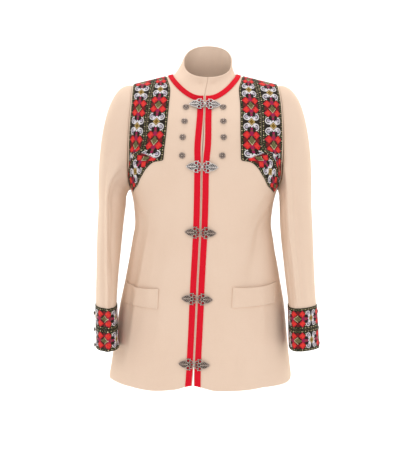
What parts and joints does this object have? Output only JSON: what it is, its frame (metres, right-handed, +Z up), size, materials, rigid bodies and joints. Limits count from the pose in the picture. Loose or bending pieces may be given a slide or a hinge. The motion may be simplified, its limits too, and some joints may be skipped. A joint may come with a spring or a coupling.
{
  "type": "wool jacket",
  "caption": "Hip-length wool jacket with a stand collar, clasped front, braided edges, woven ribbon yokes and cuffs and welt pockets, in its hollow worn form.",
  "frame": {"origin": "middle of the neck base, level with the inner ends of the shoulder seams, where the wearer's neck and shoulders hold the jacket", "axes": "+Z up, the front faces -Y, +X is the wearer's left"},
  "size_m": [0.5098, 0.2964, 0.7573],
  "materials": {
    "wool": "cream fulled wool cloth, soft and matt",
    "red_braid": "plaited red wool braid",
    "woven_ribbon": "black woven ribbon with red flowers and white scrolls",
    "pewter": "cast pewter, darkened in the hollows and rubbed bright on top"
  },
  "bodies": {
    "root": {"back": "wool", "stand_collar": "wool", "neck_braid": "red_braid", "front_right": "wool", "sleeve_upper_right": "wool", "sleeve_under_right": "wool", "pocket_welt_right": "wool", "front_braid_right": "red_braid", "shoulder_ribbon_inner_right": "woven_ribbon", "shoulder_ribbon_outer_right": "woven_ribbon", "cuff_ribbon_lower_right": "woven_ribbon", "cuff_ribbon_upper_right": "woven_ribbon", "front_button_right_1": "pewter", "front_button_right_2": "pewter", "front_button_right_3": "pewter", "front_button_right_4": "pewter", "cuff_button_right_1": "pewter", "cuff_button_right_2": "pewter", "cuff_button_right_3": "pewter", "front_left": "wool", "sleeve_upper_left": "wool", "sleeve_under_left": "wool", "pocket_welt_left": "wool", "front_braid_left": "red_braid", "shoulder_ribbon_inner_left": "woven_ribbon", "shoulder_ribbon_outer_left": "woven_ribbon", "cuff_ribbon_lower_left": "woven_ribbon", "cuff_ribbon_upper_left": "woven_ribbon", "front_button_left_1": "pewter", "front_button_left_2": "pewter", "front_button_left_3": "pewter", "front_button_left_4": "pewter", "cuff_button_left_1": "pewter", "cuff_button_left_2": "pewter", "cuff_button_left_3": "pewter", "clasp_hook_1": "pewter", "clasp_eye_1": "pewter", "clasp_hook_2": "pewter", "clasp_eye_2": "pewter", "clasp_hook_3": "pewter", "clasp_eye_3": "pewter", "clasp_hook_4": "pewter", "clasp_eye_4": "pewter", "clasp_hook_5": "pewter", "clasp_eye_5": "pewter"}
  },
  "joints": []
}
